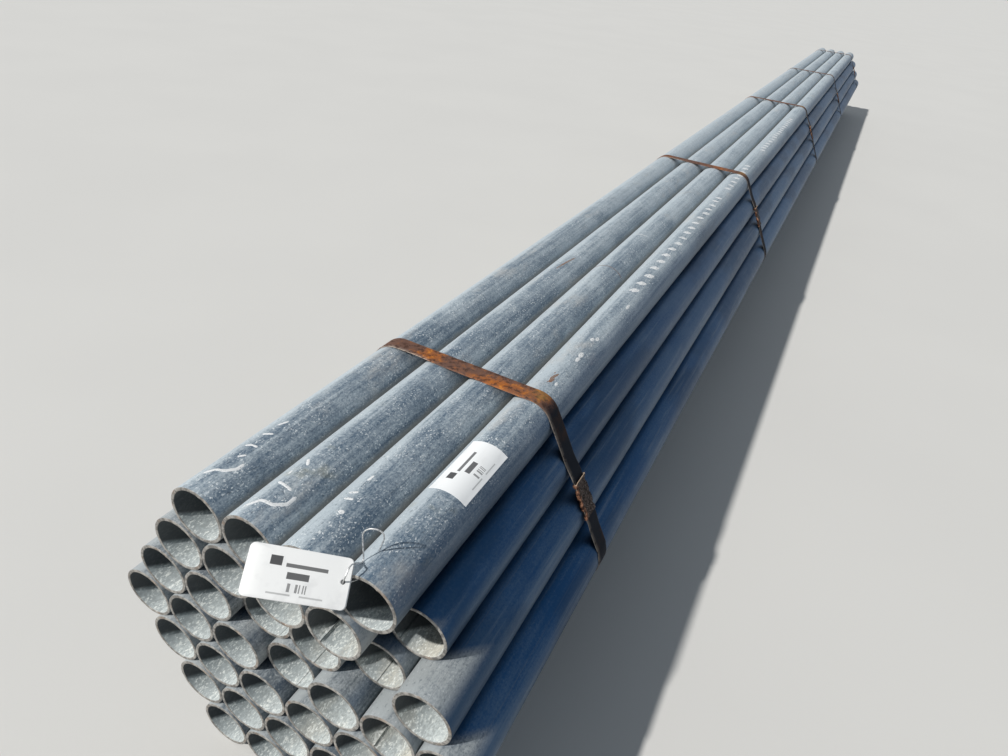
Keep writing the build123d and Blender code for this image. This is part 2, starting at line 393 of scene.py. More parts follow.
# The bar that is broken into ticks, how many ticks go into a label, and the width of blurred edges
TICKED_BAR = (0.525, 0.74, 0.105, 0.075, 0.7)
TICKS_ACROSS = 85
BLUR_ACROSS = 0.004
BLUR_DOWN = 0.008


def printed(finish, face):
    """Plain bars, and one broken into ticks, where a label has its print."""
    label = finish.node("ShaderNodeUVMap", {"uv_map": "print"})
    across, down = finish.axis(label, 0), finish.axis(label, 1)

    def bar(middle, level, half_width, half_height, strength):
        inside = abs(across - middle).rise(half_width + BLUR_ACROSS, half_width)
        return inside * abs(down - level).rise(half_height + BLUR_DOWN, half_height) * strength

    step = finish.sum("FLOOR", across * TICKS_ACROSS)
    ticks = finish.node("ShaderNodeTexWhiteNoise", {"noise_dimensions": "1D"}, {"W": step})
    bars = bar(*TICKED_BAR) * ticks.rise(0.45, 0.5)
    for sizes in BARS:
        bars = bars + bar(*sizes)
    return finish.mix(finish.sum("MINIMUM", bars, 1.0), face, finish.colours.ink)


def tag_plastic(finish):
    """White sheet plastic, faintly soiled, with plain printed bars."""
    soil = finish.cloud(45, 4)
    face = finish.coats(
        finish.colours.plastic,
        (soil.rise(0.52, 0.72) * 0.35, (0.60, 0.61, 0.63)),
        (finish.field("rim") * 0.5, (0.40, 0.41, 0.42)),
    )
    relief = finish.cloud(900, 2) + soil * 2
    return finish.done(printed(finish, face), 0.34 + soil * 0.15, relief, 0.0002, 0.25)


def plain_plastic(finish):
    """The back tag's plastic, the same stock, dirtier."""
    soil = finish.cloud(55, 5, 0.6)
    face = finish.mix(soil.rise(0.40, 0.70) * 0.6, finish.colours.plastic, (0.42, 0.42, 0.41))
    return finish.done(face, 0.4 + soil * 0.2, soil, 0.0003, 0.3)


def label_paper(finish):
    """Coated paper, lightly rubbed, with the same plain printed bars."""
    fibre = finish.cloud(700, 4, 0.7)
    soil = finish.cloud(60, 4, along=0.3)
    face = finish.mix(soil.rise(0.5, 0.75) * 0.3, finish.colours.paper, (0.56, 0.57, 0.58))
    return finish.done(printed(finish, face), 0.5 + soil * 0.15, fibre, 0.0001, 0.3)


def wire_steel(finish):
    """Dull annealed wire."""
    drawn = finish.cloud(380, 4)
    steel = finish.mix(drawn.rise(0.38, 0.62), (0.42, 0.425, 0.43), (0.74, 0.75, 0.76))
    return finish.done(steel, 0.35 + drawn * 0.2, drawn, 0.0002, 0.3, Metallic=0.75)


def white_paint(finish):
    """Chalky paint, thin enough in places to let the zinc through."""
    thin = finish.cloud(420, 4, 0.7)
    covering = (thin - finish.field("worn") * 0.07).rise(0.32, 0.46)
    film = finish.mix(covering, (0.30, 0.35, 0.39), finish.colours.paint)
    return finish.done(film, 0.65 + thin * 0.1, thin, 0.0002, 0.4)


def rust_stain(finish):
    """Thin brown rust on the zinc."""
    thin = finish.cloud(300, 4, 0.7)
    film = finish.mix(thin.rise(0.40, 0.62), (0.24, 0.23, 0.22), (0.21, 0.095, 0.05))
    return finish.done(film, 0.7 + thin * 0.1, thin, 0.0002, 0.4)


def studio_floor(finish):
    """Pale floor paint with the faintest unevenness."""
    uneven = finish.cloud(1.3, 4)
    fine = finish.cloud(90, 3)
    face = finish.mix(uneven.rise(0.3, 0.7) * 0.5, finish.colours.floor, (0.63, 0.63, 0.622))
    return finish.done(face, 0.75 + fine * 0.1, fine, 0.0005, 0.15)


MADE = {}


def finish_of(recipe):
    """A recipe's material, made the first time that it is asked for."""
    if recipe not in MADE:
        MADE[recipe] = recipe(Finish(recipe.__name__))
    return MADE[recipe]


# Meshes


def new_object(name, data):
    made = bpy.data.objects.new(name, data)
    bpy.context.scene.collection.objects.link(made)
    return made


def settle(piece, node=None):
    """A piece that rides with the bundle and stands for its solid."""
    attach(piece, "root")
    if node:
        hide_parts(node)


class Mould:
    """Rings of points that become one mesh, with a finish number for each band of faces."""

    def __init__(self):
        self.points, self.faces, self.bands, self.print_places = [], [], [], []
        self.fields = {}

    def add(self, rings, closed=False, bands=None, fields=None, print_places=()):
        """Joins each ring to the next, and the last to the first or else caps the two ends."""
        rings = np.asarray(rings, float)
        count, around = rings.shape[:2]
        bands = bands or [0] * count
        index = len(self.points) + np.arange(count * around).reshape(count, around)
        beside = np.roll(index, -1, axis=1)
        for step in range(count if closed else count - 1):
            after = (step + 1) % count
            quads = np.stack([index[step], beside[step], beside[after], index[after]], axis=1)
            self.faces += quads.tolist()
            self.bands += [bands[step]] * around
        if not closed:
            self.faces += [index[0][::-1].tolist(), index[-1].tolist()]
            self.bands += [bands[0]] * 2
        self.points += rings.reshape(-1, 3).tolist()
        self.print_places += np.reshape(print_places, (-1, 2)).tolist()
        for name, values in (fields or {}).items():
            spread = np.broadcast_to(np.asarray(values, float), (count, around))
            self.fields.setdefault(name, []).extend(spread.ravel().tolist())

    def make(self, name, recipes, node=None, sharp=60):
        """The piece. Edges that turn more than sharp degrees stay sharp."""
        mesh = bpy.data.meshes.new(name)
        mesh.from_pydata(self.points, [], self.faces)
        for recipe in recipes:
            mesh.materials.append(finish_of(recipe))
        mesh.polygons.foreach_set("material_index", self.bands)
        for field, values in self.fields.items():
            mesh.attributes.new(field, "FLOAT", "POINT").data.foreach_set("value", values)
        if self.print_places:
            places = np.array(self.print_places)[[loop.vertex_index for loop in mesh.loops]]
            mesh.uv_layers.new(name="print").data.foreach_set("uv", places.ravel())
        turned = bmesh.new()
        turned.from_mesh(mesh)
        bmesh.ops.recalc_face_normals(turned, faces=turned.faces)
        turned.to_mesh(mesh)
        turned.free()
        mesh.shade_smooth()
        mesh.set_sharp_from_angle(angle=math.radians(sharp))
        settle(new_object(name, mesh), node)


def smooth(value, low, high):
    """0 at low and 1 at high, with an even turn between. High below low turns it round."""
    share = np.clip((np.asarray(value, float) - low) / (high - low), 0, 1)
    return share * share * (3 - 2 * share)


def rough(*place):
    """Even noise from -1 to 1, the same on every run."""
    return noise.noise(Vector(place))


def direction(angle):
    """The way across the pipes at an angle in degrees, counted from +X towards +Z."""
    return np.array([math.cos(math.radians(angle)), math.sin(math.radians(angle))])


# Pipes


class Pipe:
    """Where one pipe lies, read from its solid."""

    def __init__(self, node):
        low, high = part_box(node)
        self.node = node
        self.row, self.column = int(node[6]) - 1, int(node[9]) - 1
        self.x, self.z = (low.x + high.x) / 2, (low.z + high.z) / 2
        self.near, self.far = low.y, high.y


# Where the near ends of the top row lie
TOP_ROW_END = Pipe("pipe_r1_c1").near


def ring_round(pipe, radius, angles, y):
    """Points round a pipe at angles in degrees, counted from +X towards +Z."""
    turn = np.radians(angles)
    x, z = pipe.x + radius * np.cos(turn), pipe.z + radius * np.sin(turn)
    return np.stack(np.broadcast_arrays(x, y, z), axis=1)


# The finish numbers of a pipe's surfaces
OUTSIDE, BORE, RIM = 0, 1, 2
# How far from the near end the rings lie
STATIONS = (0.03, 0.07, 0.12, 0.3, 0.8, 2.0, 3.27, 4.6, 5.8, 6.3)
# How far round a rounded edge the rings lie, in degrees
ROUNDED_TURNS = (30, 60, 90)
# Points round a pipe in degrees: even ones, and closer ones as far as this from the weld's middle
EVEN_POINTS = np.arange(96) * 3.75
WELD_POINTS = np.array([-9, -6, -4, -3, -2.2, -1.4, -0.7, 0, 0.7, 1.4, 2.2, 3, 4, 6, 9])
WELD_CLEAR = 10
# The bead's half width and its dark line's, in degrees, and how far to one side the line lies
BEAD_WIDTH = 2.0
LINE_WIDTH = 0.75
LINE_ASIDE = 1.6
# Where each weld lies inside the pipes whose weld shows, in degrees from +X towards +Z, and how
# bold it is. The other pipes have theirs in the upper half.
WELDS = {
    "pipe_r2_c4": (-125, 2.0),
    "pipe_r3_c4": (-96, 0.8),
    "pipe_r3_c5": (-95, 0.9),
    "pipe_r2_c5": (-131, 1.2),
    "pipe_r4_c4": (-79, 0.7),
    "pipe_r3_c3": (-62, 0.6),
    "pipe_r4_c5": (-31, 0.8),
    "pipe_r4_c6": (-123, 1.6),
}
# Pipes whose middles are nearer than this touch
TOUCHING = 0.0745
# How pale the zinc of the top row is at the near end, and how much paler far along
TONES = ((0.55, 1.15), (0.52, 0.75), (0.62, 0.62), (0.76, 0.50))
STAINED = ("pipe_r1_c2", "pipe_r1_c4")
# Painted shadow darkens each bore beyond where the sun reaches in: metres in for each metre
# below the pipe's middle, and which way below is, in degrees from +X towards +Z
SUN_REACH = 1.668
SUN_DOWN = -58.6
# The way back to the sun across the pipes, and how far along them its light runs for each metre
# across
SUN_ACROSS = (-0.521, 0.853)
SUN_RUN = SUN_REACH / 2
# Two bores have their painted shadow start nearer to the end, by so many metres
SHADOW_NEARER = {"pipe_r1_c4": 0.026, "pipe_r2_c5": 0.012}


def neighbour_angles(pipe, pipes):
    """The directions of the pipes that this one touches."""
    found = []
    for other in pipes:
        gap = math.hypot(other.x - pipe.x, other.z - pipe.z)
        if 0 < gap < TOUCHING:
            found.append(math.degrees(math.atan2(other.z - pipe.z, other.x - pipe.x)))
    return found


def away(angles, target):
    """How many degrees each angle is from a target, the short way round."""
    return np.abs((np.asarray(angles) - target + 180) % 360 - 180)


def shade_start(pipe, pipes, outer, angles):
    """Where along the pipe the other pipes' shade starts, for each angle round it."""
    x, _, z = ring_round(pipe, outer, angles, 0).T
    across, up = SUN_ACROSS
    start = np.full(len(angles), pipe.far)
    for other in pipes:
        ahead = (other.x - x) * across + (other.z - z) * up
        chord = outer**2 - (other.x - x) ** 2 - (other.z - z) ** 2 + ahead**2
        met = (ahead > outer) & (chord > 0) & (other.node != pipe.node)
        reach = other.near + SUN_RUN * (ahead - np.sqrt(np.maximum(chord, 0)))
        start = np.where(met, np.minimum(start, reach), start)
    return start


class MakePipes(bpy.types.Operator):
    """Makes every pipe: round ends, a welded bore, the marks of age and dirt, and painted light and
    shade
    """

    bl_idname = "pipe_bundle.make_pipes"
    bl_label = "Pipes"

    def execute(self, context):
        pipes = [Pipe(node) for node in PIPES]
        for pipe in pipes:
            self.make_pipe(context.scene.bundle_sizes, pipe, pipes)
        return {"FINISHED"}

    def make_pipe(self, sizes, pipe, pipes):
        usual = 70 + 40 * rough(pipe.x * 31, pipe.z * 31, 0.5)
        weld, boldness = WELDS.get(pipe.node, (usual, 0.8))
        even = EVEN_POINTS[away(EVEN_POINTS, weld) > WELD_CLEAR]
        angles = np.sort(np.concatenate([even % 360, (weld + WELD_POINTS) % 360]))
        from_weld = (angles - weld + 180) % 360 - 180
        bead = sizes.bead_height * boldness * np.exp(-((from_weld / BEAD_WIDTH) ** 2))
        rings, bands = self.rings(pipe, sizes, angles, bead)
        fields = self.weather(pipe, pipes, sizes.pipe_diameter / 2, angles, rings)
        fields["seam"] = np.exp(-(((from_weld - LINE_ASIDE) / LINE_WIDTH) ** 2)) * min(1, boldness)
        fields["seam_outside"] = np.exp(-((from_weld / 0.5) ** 2)) * 0.6
        mould = Mould()
        mould.add(rings, True, bands, fields)
        recipes = (galvanised_outside, galvanised_bore, cut_edge)
        mould.make(pipe.node.replace("pipe", "tube"), recipes, pipe.node, 35)

    def rings(self, pipe, sizes, angles, bead):
        """Rings from the far end along the outside, round the near rim and back down the bore."""
        near, far = pipe.near, pipe.far
        outer = sizes.pipe_diameter / 2
        inner = outer - sizes.pipe_wall
        rounding = sizes.end_rounding
        rings, bands = [], []

        def ring(radius, y, band, lining=False):
            rings.append(ring_round(pipe, radius - (bead if lining else 0), angles, y))
            bands.append(band)

        def rounded(end, inward, lining, turns):
            for turn in np.radians(turns):
                back = rounding - rounding * math.cos(turn)
                slide = rounding - rounding * math.sin(turn)
                ring(inner + back if lining else outer - back, end + inward * slide, RIM, lining)

        ring(outer, far - rounding, OUTSIDE)
        for station in reversed(STATIONS):
            ring(outer, near + station, OUTSIDE)
        ring(outer, near + rounding, RIM)
        rounded(near, 1, False, ROUNDED_TURNS)
        rounded(near, 1, True, ROUNDED_TURNS[::-1])
        ring(inner, near + rounding, BORE, True)
        for station in STATIONS:
            ring(inner, near + station, BORE, True)
        ring(inner, far - rounding, RIM, True)
        rounded(far, -1, True, ROUNDED_TURNS)
        rounded(far, -1, False, ROUNDED_TURNS[::-1])
        return np.array(rings), bands

    def weather(self, pipe, pipes, outer, angles, rings):
        """Where frost, dust and stains, and painted light and shade, lie: by angle, by place along, or
        by both.
        """
        top_row, right = pipe.row == 0, pipe.x > 0
        touching = neighbour_angles(pipe, pipes)
        valley = np.zeros_like(angles)
        for toward in touching:
            valley = np.maximum(valley, 1 - smooth(away(angles, toward), 8, 42))
        turn = (angles + 180) % 360 - 180
        # Where shade is painted: most of the outer pipes on the right, the tagged pipe's right flank,
        # and the upper part of the inner pipes.
        deep = np.zeros_like(angles)
        if right and len(touching) < 6:
            deep = smooth(turn, 75, 15) * 0.85 if top_row else smooth(turn, 150, 110)
            deep *= not top_row or pipe.node == TAGGED_PIPE
            deep *= smooth(turn, -175, -150)
        elif len(touching) == 6:
            deep = smooth(turn, 20, 60) * 0.7
        y = rings[:, 0, 1]
        inward = y - pipe.near
        from_end = np.minimum(inward, pipe.far - y)
        distant = smooth(inward, 0.15, 2.2)
        down = (rings[:, :, (0, 2)] - (pipe.x, pipe.z)) @ direction(SUN_DOWN)
        tone = 0.5 + 0.8 * rough(pipe.x * 57, pipe.z * 43, 3.7)
        tone = tone + 0.7 * (1 - smooth(from_end, 0.05, 0.15)) * (pipe.row > 1) * (pipe.x > 0.14)
        if top_row:
            tone = TONES[pipe.column][0] + TONES[pipe.column][1] * distant
        return {
            "valley": valley * (1 - deep) * (1.0 if top_row else 0.2),
            "age": smooth(np.sin(np.radians(angles)), -0.1, 0.35) * (1.0 if top_row else 0.35),
            "deep": deep,
            "nook": valley * (not top_row) * right,
            "lit_top": smooth(turn, 30, 68) * (not top_row),
            "shade": y[:, None] - shade_start(pipe, pipes, outer, angles),
            "flank": smooth(turn, 50, -30),
            "beyond": inward[:, None] - SUN_REACH * down + SHADOW_NEARER.get(pipe.node, 0),
            "washed": smooth(angles, 225, 335) + smooth(angles, 60, 20),
            "grimed": smooth(pipe.far - y, 0.05, 0.3)[:, None],
            "warm": smooth(pipe.x, -0.05, 0.05) * (not top_row),
            "distant": distant[:, None],
            "tone": tone[:, None],
            "end": (1 - smooth(from_end, 0.0, 0.3))[:, None] * (pipe.node in STAINED),
        }


# Straps and seals

# Room between a seal and the band, and between the lapped ends
SEAL_CLEARANCE = 0.00025
LAP_GAP = 0.0001
# How far the ends run past the seal, and the length of the ramps up to the lap
LAP_TAIL = 0.003
LAP_RAMP = 0.028
# A seal's crimps, each one's width in shares of their spacing, and its flanges behind the band
CRIMPS = 3
CRIMP_WIDTH = 0.19
FLANGE = 0.011
# The six corner pipes clockwise from the top left, each with the way that its next side faces
CORNERS = ("pipe_r1_c1", "pipe_r1_c4", "pipe_r4_c7", "pipe_r7_c4", "pipe_r7_c1", "pipe_r4_c1")
SIDE_FACES = (90, 30, -30, -90, -150, -210)
SEAL_SIDE = 1
# The layers of the band: the lower one at the seal, the single one, and the upper one at the seal
LOWER, SINGLE, UPPER = 1, 0, 2
# The band's section: across in half widths, and height in thicknesses
BAND_ACROSS = np.array([-1, -1, -0.6, 0, 0.6, 1, 1, 0.985, 0.9, 0.5, 0, -0.5, -0.9, -0.985])
BAND_HEIGHT = np.array([0.5, 0.2, 0, 0, 0, 0.2, 0.5, 0.8, 1, 1, 1, 1, 1, 0.8])
# How far across the bare steel of the edges shows, near edge first
BARE_ACROSS = (-0.97, -0.9, -0.89, 0.9, 0.97)
BARE_SHARE = (1, 0.45, 0, 0, 0.6)
# How much of the first strap's lift and fresh rust the other straps have
OTHERS_LIFT = 0.3
OTHERS_FRESH = 0.5
# Where the near edge stands up, from the top left pipe's middle, and how far on either side
LIFT_PLACE = 0.03
LIFT_SPREAD = 0.035
# The band's width as a share of its solid's, how it waves, and how it lies loose or tight
BAND_SHARE = 0.994
BAND_WAVE = 0.0005
BAND_LOOSE = 0.00012
BAND_TIGHT = 0.00005
# How far the lower end strays beside the upper one, and how a seal takes hold of both
LOWER_SHIFT = 0.0025
SEAL_GRIP = 0.004
SEAL_NARROWS = 0.15
# The seals: how many rings each has, and the size of the flare, curl, crumples, dents and slant
SEAL_RINGS = 65
SEAL_FLARE = 0.0018
SEAL_CURL = 0.0013
SEAL_CURL_CHANGE = 0.0016
SEAL_CRUMPLE = 0.0004
SEAL_DENT = 0.0012
SEAL_SLANT = 0.0012


class Hexagon:
    """The outline that the straps follow, and the layers of the lap on its seal side."""

    def __init__(self, sizes):
        self.sizes = sizes
        self.radius = sizes.pipe_diameter / 2 + sizes.strap_gap
        self.centers = [np.array([pipe.x, pipe.z]) for pipe in map(Pipe, CORNERS)]
        self.side = float(np.linalg.norm(self.centers[1] - self.centers[0]))
        self.lower = sizes.seal_thickness + 2 * SEAL_CLEARANCE
        self.upper = self.lower + sizes.strap_thickness + LAP_GAP

    def at(self, side, along, out=0.0):
        """A point so far along a side, clockwise, and so far off it."""
        face = SIDE_FACES[side]
        foot = self.centers[side] + self.radius * direction(face)
        return foot + along * direction(face - 90) + out * direction(face)

    def down_seal_side(self, points):
        """How far down the seal side points lie."""
        return (points - self.at(SEAL_SIDE, 0)) @ direction(SIDE_FACES[SEAL_SIDE] - 90)

    def seal_place(self, seal):
        """How far down the seal side a seal's middle lies."""
        low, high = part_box(seal)
        return self.down_seal_side(np.array([(low.x + high.x) / 2, (low.z + high.z) / 2]))

    def stray(self, point):
        """How far the band has strayed at a point: all the way at the seal side's foot, and back
        again by the top left corner."""
        from_middle = point - np.mean(self.centers, axis=0)
        turn = (60 - math.degrees(math.atan2(from_middle[1], from_middle[0]))) % 360
        return -0.3 + 1.3 * float(smooth(turn, 0, 60) - smooth(turn, 60, 330))


def strap_route(hexagon, start, end):
    """The band's inner face from its lower end, clockwise, to its upper end: points, each with the
    way that it faces and its layer. The lap runs from start to end."""
    route = []

    def straight(side, alongs, outs, layer):
        out = direction(SIDE_FACES[side])
        route.extend((hexagon.at(side, *spot), out, layer) for spot in zip(alongs, outs))

    def corner(number):
        before = SIDE_FACES[number] + 60
        for out in map(direction, np.linspace(before, before - 60, 14)[1:-1]):
            route.append((hexagon.centers[number] + hexagon.radius * out, out, SINGLE))

    alongs = np.linspace(start, hexagon.side, 30)
    straight(SEAL_SIDE, alongs, hexagon.lower * (1 - smooth(alongs, end, end + LAP_RAMP)), LOWER)
    even = np.linspace(0, hexagon.side, 22)
    for step in range(1, 7):
        side = (SEAL_SIDE + step) % 6
        corner(side)
        if side != SEAL_SIDE:
            straight(side, even, np.zeros_like(even), SINGLE)
    alongs = np.linspace(0, end, 34)
    ramp_end = start - LAP_TAIL
    straight(SEAL_SIDE, alongs, hexagon.upper * smooth(alongs, ramp_end - LAP_RAMP, ramp_end), UPPER)
    return route


class MakeStraps(bpy.types.Operator):
    """Makes the five rusty straps, each with its two ends lapped under a seal"""

    bl_idname = "pipe_bundle.make_straps"
    bl_label = "Straps"

    def execute(self, context):
        hexagon = Hexagon(context.scene.bundle_sizes)
        for number, (strap, seal) in enumerate(zip(STRAPS, SEALS)):
            self.make_strap(hexagon, number, strap, hexagon.seal_place(seal))
        return {"FINISHED"}

    def make_strap(self, hexagon, number, strap, place):
        sizes, first = hexagon.sizes, number == 0
        low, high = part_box(strap)
        middle, half = (low.y + high.y) / 2, (high.y - low.y) / 2
        lap = sizes.seal_length / 2 + LAP_TAIL
        start, end = place - lap, place + lap
        edge_lift = sizes.edge_lift * (1 if first else OTHERS_LIFT)
        astray = sizes.strap_stray if first else 0
        across = BAND_ACROSS
        (left, top), (right, _) = hexagon.centers[:2]
        rings = []
        for point, out, layer in strap_route(hexagon, start, end):
            down = hexagon.down_seal_side(point)
            held = smooth(down, start, start + SEAL_GRIP) * (1 - smooth(down, end - SEAL_GRIP, end))
            narrow = 1 - SEAL_NARROWS * held * (layer != SINGLE)
            wave = BAND_WAVE * rough(point[0] * 25, point[1] * 25, number)
            lift = edge_lift * math.exp(-(((point[0] - left - LIFT_PLACE) / LIFT_SPREAD) ** 2))
            lift *= (1 - across) ** 2 / 4 * (out[1] > 0.9)
            loose = (BAND_LOOSE + wave * 0.2) * (1 - out[0] ** 4) * (out[1] > -0.6) * (layer == SINGLE)
            rise = sizes.strap_thickness * BAND_HEIGHT + lift + loose - BAND_TIGHT * out[0] ** 4
            shift = LOWER_SHIFT * (layer == LOWER) * (1 - held) - hexagon.stray(point) * astray
            y = middle + wave + shift + across * half * narrow * BAND_SHARE
            rings.append(np.stack([point[0] + out[0] * rise, y, point[1] + out[1] * rise], axis=1))
        x, _, z = np.moveaxis(rings, 2, 0)
        # Painted shade: past the right shoulder and below the top the band turns near black.
        old = np.maximum(smooth(x, right + 0.012, right + 0.034), smooth(z, top + 0.02, top))
        bared = np.maximum((1 - smooth(x, left + 0.05, left + 0.07)) * (z > top), 0.12)
        bared = np.maximum(bared, old * np.where(across < 0, 0.75, 0.2))
        fields = {
            "old": old,
            "shoulder": np.exp(-(((x - right - 0.008) / 0.012) ** 2)) * (z > top),
            "edge": np.interp(across, BARE_ACROSS, BARE_SHARE) * bared,
            "fresh": 1.0 if first else OTHERS_FRESH,
        }
        mould = Mould()
        mould.add(rings, fields=fields)
        mould.make(strap.replace("strap", "band"), (rusty_band,), strap, 50)


def crimp_wave(along, spacing):
    """1 at the middle of each crimp, 0 between them."""
    share = along / spacing
    inside = (share > 0) & (share < CRIMPS)
    return np.where(inside, np.exp(-(((share % 1) - 0.5) / CRIMP_WIDTH) ** 2), 0.0)


def folded(side, reach, count, level):
    """One face of a folded sleeve: a side, the front between -reach and reach, and the other side."""
    front = [(across, level) for across in np.linspace(-reach, reach, count)]
    return np.concatenate([side, front, np.array(side)[::-1] * (-1, 1)])


def sleeve_section(half, height, thick):
    """The folded sleeve's outline across and out, from one flange's tip round to it again."""
    tip, inner = half - FLANGE, half - thick
    outside = [(-tip, 0), (-half * 0.7, 0), (-half + 0.8e-3, 0), (-half, 0.7e-3)]
    outside += [(-half, height / 2), (-half, height - 0.6e-3), (-half + 0.6e-3, height)]
    inside = [(tip, thick), (half * 0.7, thick), (inner, thick)]
    inside += [(inner, height / 2), (inner * 0.9, height - thick)]
    outside = folded(outside, half * 0.86, 13, height)
    inside = folded(inside, -inner * 0.6, 5, height - thick)
    return np.concatenate([outside, inside]).T


class MakeSeals(bpy.types.Operator):
    """Makes the crimped seals: a folded sleeve with a flared mouth and bitten edges"""

    bl_idname = "pipe_bundle.make_seals"
    bl_label = "Seals"

    def execute(self, context):
        hexagon = Hexagon(context.scene.bundle_sizes)
        for number, (strap, seal) in enumerate(zip(STRAPS, SEALS)):
            self.make_seal(hexagon, number, strap, seal)
        return {"FINISHED"}

    def make_seal(self, hexagon, number, strap, seal):
        sizes = hexagon.sizes
        low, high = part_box(strap)
        shell = SEAL_CLEARANCE + sizes.seal_thickness
        half = (high.y - low.y) / 2 + shell
        height = hexagon.upper + sizes.strap_thickness - hexagon.lower + 2 * shell
        foot = hexagon.lower - shell
        place = hexagon.seal_place(seal)
        across, out = sleeve_section(half, height, sizes.seal_thickness)
        near, front, edge = across < 0, out > height / 2, np.abs(across) / half
        middle = (low.y + high.y) / 2
        if number == 0:
            middle -= hexagon.stray(hexagon.at(SEAL_SIDE, place)) * sizes.strap_stray
        spacing = sizes.seal_length / CRIMPS
        rings, edges, mouths = [], [], []
        for along in np.linspace(0, sizes.seal_length, SEAL_RINGS):
            bite = 0.85 + 0.5 * rough(along // spacing, number * 2.3, 0.4)
            bite = bite * crimp_wave(along, spacing)
            pinch = 1 - sizes.crimp_depth / half * bite * edge**3 * np.where(near, 1.15, 0.35)
            flare = SEAL_FLARE * smooth(along, 0.007, 0.0)
            crumple = np.array([rough(along * 190, v * 190, number * 5.1) for v in across])
            curl = (SEAL_CURL + SEAL_CURL_CHANGE * rough(along * 110, number * 1.9, 0.5)) * (1 - bite)
            curl = curl * smooth(edge, 0.62, 1.0) * near
            lean = flare + crumple * SEAL_CRUMPLE + curl - SEAL_DENT * bite * edge**2
            down = place - sizes.seal_length / 2 + along
            spots = np.array([hexagon.at(SEAL_SIDE, down, foot + v) for v in out + lean * front])
            y = middle + across * pinch + SEAL_SLANT * (1 - along / sizes.seal_length)
            rings.append(np.stack([spots[:, 0], y, spots[:, 1]], axis=1))
            ragged = 0.2 * rough(along * 190, 0.7, number * 3.3)
            worn = smooth(edge, 0.50 + ragged, 0.80 + ragged) * near
            edges.append(worn + 0.25 * smooth(edge, 0.9, 1.0))
            mouths.append(smooth(along, 0.0016, 0.0) * front)
        mould = Mould()
        mould.add(rings, fields={"edge": edges, "mouth": mouths})
        mould.make(seal.replace("strap_seal", "seal"), (crusty_seal,), seal, 40)


# Tags, wire and sticker

TAGGED_PIPE = "pipe_r1_c4"
# A tag's sizes, the radius of its corners, and how close the points of its outline lie
TAG_LENGTH = 0.09525
TAG_HEIGHT = 0.0476
TAG_THICKNESS = 0.0008
TAG_CORNER = 0.005
TAG_STEP = 0.005
# The hole's diameter, and how far it lies from the tag's end and above its middle
TAG_HOLE = 0.005
TAG_HOLE_INSET = 0.0065
TAG_HOLE_RISE = 0.0013
# Where the rings of a tag's faces lie, from the hole at 0 to the outline at 1
TAG_SHARES = (0.0, 0.06, 0.2, 0.4, 0.6, 0.8, 0.994)
# The way that the tags run, from the free end to the hole, and the way that they face
TAG_RUN = Vector((0.80, 0.537, -0.263))
TAG_FACE = Vector((0.49, -0.34, 0.80))
# How far the back tag lies behind the front one and beside it, and its bow for the front one's
TAG_LAYER = 0.0012
TAG_SLIDE = 0.0012
BACK_BOW = -0.6
# The front tag's hole and the wire's corners are measured from the tagged pipe's middle, at the
# top row's near ends
TAG_HOLE_PLACE = Vector((-0.0163, -0.0081, 0.035))
WIRE_CORNERS = (
    (-0.0055, 0.0310, 0.0311),
    (-0.0120, 0.0100, 0.0240),
    (-0.0187, -0.0069, 0.0283),
    (-0.0131, -0.0096, 0.0433),
    (-0.0145, 0.0010, 0.0510),
    (-0.0170, 0.0245, 0.0304),
    (-0.0207, 0.0270, 0.0720),
    (-0.0019, 0.0340, 0.0770),
    (-0.0026, 0.0375, 0.0600),
    (-0.0103, 0.0400, 0.0361),
)
# The radius of the wire's bend at each corner between its ends
WIRE_BENDS = (0.020, 0.005, 0.006, 0.006, 0.003, 0.011, 0.009, 0.020)
# The sticker: its middle in degrees round the pipe, its sizes, and how it curls and waves
STICKER_TURN = 87
STICKER_HALF_WIDTH = 0.0254
STICKER_OFF_PIPE = 0.0001
STICKER_THICKNESS = 0.00025
STICKER_EDGE_CURL = 0.0006
STICKER_END_CURL = 0.0005
STICKER_WAVE = 0.00004
STICKER_RINGS = 19


def tag_base():
    """The tagged pipe's middle, at the top row's near ends."""
    pipe = Pipe(TAGGED_PIPE)
    return Vector((pipe.x, TOP_ROW_END, pipe.z))


